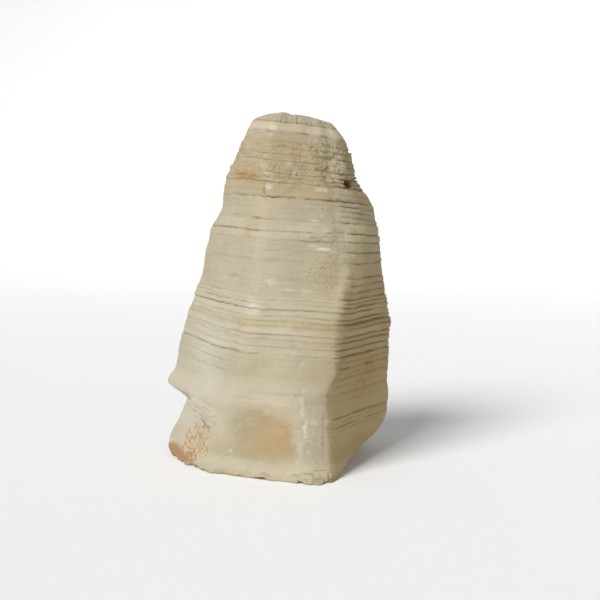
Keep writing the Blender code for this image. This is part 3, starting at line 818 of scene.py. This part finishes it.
# Small marks on the front half: for each colour the x, bed level, half width, half height and
# strength of its marks.
MARKS = {
    "ivory": [(0, 61, 26, 4.5, 0.7)],
    "ochre": [
        (33, 3, 8, 3, 0.35), (-21.2, 188.3, 3.8, 1.9, 1.0), (-6, 197, 4.5, 1.2, 0.8),
        (-16, 188.3, 4, 0.9, 0.5), (-22, 198.5, 6, 0.8, 0.35), (-54, 50, 7, 5, 0.2),
        (-45, 130.5, 16, 0.9, 0.5), (-40, 134.5, 16, 0.9, 0.4)],
    "rust": [
        (-15.8, 193, 8, 4.5, 0.25), (-53, 33, 5, 1.4, 1.0), (-57, 35, 2.6, 1.2, 0.9),
        (-55.5, 30.5, 1.3, 2.6, 0.9), (-51, 31, 1.2, 2.6, 0.8), (-6, 3, 6, 1.6, 0.4),
        (-46, 3, 4, 1.4, 0.4)],
    "vein": [
        (-28.5, 230.4, 2.2, 1.8, 1.0), (-24, 229, 4, 1, 1.0), (-15, 229.2, 4.5, 0.8, 0.9),
        (-20, 227.2, 10, 0.8, 0.7), (-30, 232.5, 1.6, 1.2, 0.6)],
    "dirt": [
        (-7, 219.5, 0.9, 7.5, 1.0), (-12.6, 197.8, 5, 1.1, 0.9), (28.5, 206.5, 1.6, 1.2, 0.5),
        (-29.9, 151.5, 5.5, 1.1, 0.4), (-67.3, 77.8, 0.9, 0.9, 0.7), (-63, 77, 1.2, 0.8, 0.7),
        (-58, 78, 0.9, 0.9, 0.6), (-21, 184.5, 2.5, 1.2, 0.4), (-30, 199, 3, 0.8, 0.4),
        (-38.7, 21.5, 2.4, 3, 0.35), (-35, 15, 3.5, 1.3, 0.4), (34.3, 13.6, 1.9, 3.8, 0.5),
        (37.5, 38, 1, 23, 0.5), (28, 44, 1.5, 3, 0.3), (26, 30, 1.6, 2.4, 0.3),
        (-63, 41, 5, 0.6, 0.6), (-53, 40.6, 4.5, 0.5, 0.5), (-66, 37.6, 4, 0.6, 0.6),
        (-56.5, 37.4, 5, 0.6, 0.65), (-44, 37, 5, 0.5, 0.35), (-64, 34.2, 3, 0.5, 0.5),
        (-55, 44.5, 5, 0.5, 0.35), (24, 61, 1.4, 4, 0.3), (17, 5, 5.5, 0.8, 0.6),
        (26, 6.6, 5.5, 0.8, 0.8), (35, 9, 6, 0.8, 0.7), (41.5, 4.5, 0.9, 4.5, 0.8),
        (17, 152, 7, 3, 0.18), (28, 182, 26, 1.1, 0.45), (-53, 33, 4.2, 1.1, 0.6),
        (-56.5, 34.8, 2.4, 1, 0.5), (-51, 31, 0.9, 2.4, 0.5), (-26, 229.8, 3.8, 0.9, 0.6),
        (-15, 229, 4.2, 0.8, 0.5)],
    "bright": [
        (0.3, 268, 3.5, 2.6, 1.0), (-2, 262.5, 1.5, 1.2, 0.6), (-3.5, 221.5, 4, 2.8, 0.45),
        (37.2, 222.5, 5.5, 2.2, 0.65), (30, 179, 5, 1.3, 0.7), (38, 176.4, 6.5, 1.6, 0.8),
        (46, 174.5, 3.5, 1.2, 0.6), (32, 198, 4.5, 0.9, 0.9), (41, 191, 4, 1.4, 0.5),
        (-1.5, 149.3, 6.5, 2.6, 0.45), (9, 144, 9, 1.2, 0.5), (27, 144, 6, 1, 0.4),
        (-16.5, 129.5, 7.5, 7, 0.5), (22.5, 53, 2.2, 5, 0.7), (24, 39, 2, 7, 0.7),
        (-33.5, 18.5, 1.6, 1.6, 0.8), (20.5, 26, 3, 8, 0.45), (31, 47, 4.5, 3, 0.35),
        (-6, 238, 4.5, 1, 0.6), (-4, 232.5, 5, 1, 0.6), (12, 241, 3, 1.1, 0.5),
        (-26, 243, 4, 1.2, 0.5), (-20, 250, 3, 1.2, 0.4)],
}

# Stains: name, direction in degrees, bed level, half width, half height and strength of each blot.
STAINS = [
    ("stain", 260, 33, 38, 31, 1.4), ("stain", 271, 31, 22, 22, 1.3), ("stain", 340, 24, 40, 16, 0.6),
    ("stain", 343, 76, 46, 40, 0.75), ("stain", 208, 228.8, 27, 6.5, 1.5),
    ("stain", 332, 231, 14, 10, 1.4),
    ("rust", 180, 4, 26, 9.5, 1.8), ("rust", 196, 6, 20, 7, 1.5), ("rust", 207, 229, 21, 3.0, 0.5),
    ("rust", 332, 230.5, 12, 7, 1.2), ("rust", 335, 24, 26, 7, 0.25), ("rust", 275, 35, 12, 14, 0.3),
    ("rust", 120, 66, 18, 3, 0.9), ("rust", 150, 226, 14, 3, 0.8),
    ("ochre", 196, 236, 30, 6, 0.6), ("ochre", 180, 0, 30, 3, 1.2), ("ochre", 240, 1, 46, 3, 0.6),
    ("ochre", 250, 22, 12, 12, 0.35), ("ochre", 60, 12, 26, 8, 0.8),
    ("veined", 201, 18, 28, 17, 1.7)]


def stain_marks(turn, level, radius):
    """Each kind of stain's strength over the surface: the strongest of its blots."""
    marks = {name: np.zeros_like(level) for name in ("stain", "rust", "ochre", "veined")}
    for name, direction, centre, half_width, half_height, strength in STAINS:
        spot = strength * blot(turn, level, radius, direction, centre, half_width, half_height)
        marks[name] = np.maximum(marks[name], spot)
    return marks


# How bleached the left flank is, and how scarred the front right arris: points of level and share.
BLEACHED = [(0, 0.15), (12, 0.3), (20, 0.5), (40, 0.5), (47, 0.85), (100, 0.8), (140, 0.4), (175, 0.15),
            (225, 0.12), (281, 0.3)]
SCARRED = [(0, 0.0), (130, 0.0), (148, 0.8), (205, 0.9), (213, 0.3), (226, 0.3), (232, 0.6), (255, 0.5),
           (265, 0.0)]
LEFT_FLANK, LEFT_FLANK_WIDTH = 3.45, 0.62      # arris share of its middle, and half its width
SCAR_START, SCAR_END = 5.72, 6.45              # arris shares between which the scars lie

# The worn strip beside the front right arris: arris shares, bed levels and strength.
WORN_SHARES, WORN_LEVELS, WORN = (4.98, 6.02), (6, 70), 0.5

# Where the painted shade of the right face starts: points of level, arris share and width.
PAINTED_SHADE_EDGE = [(0, 5.9, 0.1), (62, 5.9, 0.1), (90, 5.94, 0.14), (135, 5.95, 0.2), (155, 5.93, 0.14),
             (175, 5.97, 0.2), (190, 6.04, 0.24), (215, 6.06, 0.4), (250, 6.04, 0.74), (281, 6.04, 0.74)]
# The painted shade is weaker above these bed levels: level, height of the fade and how much weaker.
LIGHTER_ABOVE = [(135, 50, 0.45), (195, 20, 0.2)]
PAINTED_FRONT_SHADE, PAINTED_FRONT_SHADE_TOP = 0.32, 185                 # painted shade over the front's right part, up to this level

# The cap: how crumbly it is, how far past the rim's the bed levels of its first and last ring
# are, and the marks that it lacks.
CAP_CRUMBLE, CAP_LEVELS = 0.8, (1.5, 7.0)
BARE_ON_CAP = {"seam", "fresh", "hollow", "worn", "scarred"}


def weather_and_painted_shade_marks(share, turn, level):
    """How bleached, worn and scarred each point is, and how much painted shade lies on the side away from
    the light.
    Each is a smooth window over the arris shares, times a window over the bed levels or values read from a
    table by level."""
    patchy = np.clip(0.8 + 0.4 * noise(turn, level, 14, 20.0, 70), 0, 1)
    left_flank = smooth(1.0 - np.abs(share - LEFT_FLANK) / LEFT_FLANK_WIDTH)
    bleached = left_flank * patchy * np.interp(level, *np.array(BLEACHED).T)
    (start, end), (bottom, top) = WORN_SHARES, WORN_LEVELS
    strip = smooth((share - start - 0.12 * patchy) / 0.14) * smooth((end - share) / 0.06)
    worn = WORN * strip * smooth((level - bottom) / 6) * smooth((top - level) / 5)
    # Painted shade over the right face, which faces away from the key light, made weaker higher up.
    edge, width = along(PAINTED_SHADE_EDGE, level)
    edge = edge + 0.05 * noise(turn, level, 70, 6.0, 71) + 0.04 * noise(turn, level, 90, 2.6, 72)
    shade = smooth((share - edge) / width) + smooth((0.9 - share) / 0.5)
    lighter = 0.0
    for start, fade, less in LIGHTER_ABOVE:
        lighter = lighter + less * smooth((level - start) / fade)
    shade = shade * (1.0 - lighter)
    # Painted shade over the right part of the front, which turns away from the key light.
    front_painted_shade = PAINTED_FRONT_SHADE * smooth((share - 5.0) / 0.8) * smooth((PAINTED_FRONT_SHADE_TOP - level) / 30) * (share < 6.5)
    scar = smooth((share - SCAR_START) / 0.2) * smooth((SCAR_END - share) / 0.25)
    scarred = scar * np.interp(level, *np.array(SCARRED).T)
    return {"weather": bleached, "worn": worn, "sheltered": np.maximum(shade, front_painted_shade), "scarred": scarred}


def cap_marks(marks):
    """The marks of the cap's rings: the rim's, without what only the flanks have."""
    over = {name: np.repeat(0 * values[-1:] if name in BARE_ON_CAP else values[-1:], CAP_RINGS, axis=0)
            for name, values in marks.items()}
    over["crumble"][:] = CAP_CRUMBLE
    over["level"] += np.linspace(*CAP_LEVELS, CAP_RINGS)[:, None]
    return over


class STONE_OT_bedded_stone(bpy.types.Operator):
    """Build the stone's surface from its arrises, beds and grooves, and give it its finish"""
    bl_idname = "stone.bedded_stone"
    bl_label = "Bedded Stone"

    def execute(self, context):
        sizes, colours = context.scene.stone_sizes, context.scene.stone_colours
        counts = np.round(np.array(FACE_SHARE) * sizes.columns).astype(int)
        share = np.concatenate([side + np.arange(count) / count for side, count in enumerate(counts)])
        levels, laminae = rows()
        share_grid, level_grid = np.meshgrid(share, levels)
        lamina_grid = np.repeat(laminae[:, None], len(share), axis=1).astype(float)
        points, marks = flank(share_grid, level_grid, lamina_grid, sizes)
        rings = cap(points[-1])
        turn = marks.pop("turn")
        distance = np.hypot(points[..., 0], points[..., 1])
        marks.update(stain_marks(turn, level_grid, distance))
        marks.update(weather_and_painted_shade_marks(share_grid, turn, level_grid))
        marks["level"] = level_grid
        over = cap_marks(marks)
        marks = {name: np.vstack([values, over[name]]) for name, values in marks.items()}
        mesh = closed_grid("bedded_stone", np.vstack([points, rings]), marks)
        mesh.materials.append(stone_finish(colours, sizes))
        stone = bpy.data.objects.new("bedded_stone", mesh)
        context.collection.objects.link(stone)
        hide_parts("river_rock")
        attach(stone, "root")
        return {"FINISHED"}


# The studio, in metres: a dish whose floor is flat to one radius and curves up to its wall.
FLOOR_RADIUS, WALL_RADIUS, WALL_HEIGHT = 1.6, 2.8, 1.35


def dish(name, around=96, steps=28):
    """A dish: the profile runs flat to the floor's radius and then up a quarter of an ellipse,
    carried round the z axis."""
    bend = np.linspace(0.0, math.pi / 2, steps)
    radius = np.concatenate([[0.02, 0.6], FLOOR_RADIUS + (WALL_RADIUS - FLOOR_RADIUS) * np.sin(bend)])
    height = np.concatenate([[0.0, 0.0], WALL_HEIGHT * (1.0 - np.cos(bend))])
    turn = np.arange(around) * 2 * math.pi / around
    x, y = radius[:, None] * np.cos(turn), radius[:, None] * np.sin(turn)
    points = np.stack([x, y, height[:, None] + 0 * x], -1).reshape(-1, 3)
    faces = grid_quads(len(radius), around)[:, ::-1]
    mesh = bpy.data.meshes.new(name)
    mesh.from_pydata(points.tolist(), [], [list(range(around))] + faces.tolist())
    mesh.shade_smooth()
    return mesh


def floor_finish(studio):
    """A plain, dull floor whose brightness drifts by two hundredths."""
    paint = Paint("studio floor")
    place = paint.node("ShaderNodeTexCoord", output=3)
    cloud = paint.noise(place, 2.0, 3.0)
    colour = paint.mix(cloud, tuple(studio.floor), tuple(0.98 * value for value in studio.floor))
    shader = paint.node("ShaderNodeBsdfPrincipled", {}, {
        "Base Color": colour, "Roughness": 0.9, "Specular IOR Level": 0.1})
    paint.node("ShaderNodeOutputMaterial", {}, {0: shader})
    return paint.material


class STONE_OT_stage(bpy.types.Operator):
    """Build the floor, the lights and the camera"""
    bl_idname = "stone.stage"
    bl_label = "Studio"

    def execute(self, context):
        studio = context.scene.stone_studio
        mesh = dish("studio_floor")
        mesh.materials.append(floor_finish(studio))
        floor = bpy.data.objects.new("studio_floor", mesh)
        context.collection.objects.link(floor)

        light = bpy.data.lights.new("key", "SUN")
        light.energy = studio.key_strength
        light.angle = studio.key_spread
        key = bpy.data.objects.new("key", light)
        key.rotation_euler = (math.pi / 2 - studio.key_height, 0.0, -studio.key_side)
        context.collection.objects.link(key)

        world = bpy.data.worlds.new("studio")
        world.use_nodes = True
        background = world.node_tree.nodes["Background"]
        background.inputs["Color"].default_value = (1.0, 1.0, 1.0, 1.0)
        background.inputs["Strength"].default_value = studio.fill
        context.scene.world = world

        lens = bpy.data.cameras.new("camera")
        lens.lens = studio.lens
        lens.sensor_width = 36.0
        camera = bpy.data.objects.new("camera", lens)
        camera.location = (studio.camera_side, -studio.camera_distance, studio.camera_height)
        camera.rotation_euler = (math.pi / 2 - studio.camera_pitch, 0.0, 0.0)
        context.collection.objects.link(camera)
        context.scene.camera = camera
        context.scene.view_settings.view_transform = "Standard"
        return {"FINISHED"}


class STONE_PT_panel(bpy.types.Panel):
    bl_label = "River Stone"
    bl_idname = "STONE_PT_panel"
    bl_space_type = "VIEW_3D"
    bl_region_type = "UI"
    bl_category = "Stone"

    def draw(self, context):
        for group in (context.scene.stone_sizes, context.scene.stone_colours, context.scene.stone_studio):
            box = self.layout.box()
            for name in group.bl_rna.properties.keys():
                if name not in ("rna_type", "name"):
                    box.prop(group, name)
        for operator in OPERATORS:
            self.layout.operator(operator.bl_idname)


OPERATORS = (STONE_OT_bedded_stone, STONE_OT_stage)
GROUPS = {"stone_sizes": StoneSizes, "stone_colours": StoneColours, "stone_studio": StudioSettings}


def register():
    for cls in (*GROUPS.values(), *OPERATORS, STONE_PT_panel):
        bpy.utils.register_class(cls)
    for name, group in GROUPS.items():
        setattr(bpy.types.Scene, name, PointerProperty(type=group))


def unregister():
    for name in GROUPS:
        delattr(bpy.types.Scene, name)
    for cls in (STONE_PT_panel, *OPERATORS, *GROUPS.values()):
        bpy.utils.unregister_class(cls)


def main():
    register()
    bpy.ops.stone.bedded_stone()
    bpy.ops.stone.stage()


if __name__ == "__main__":
    main()
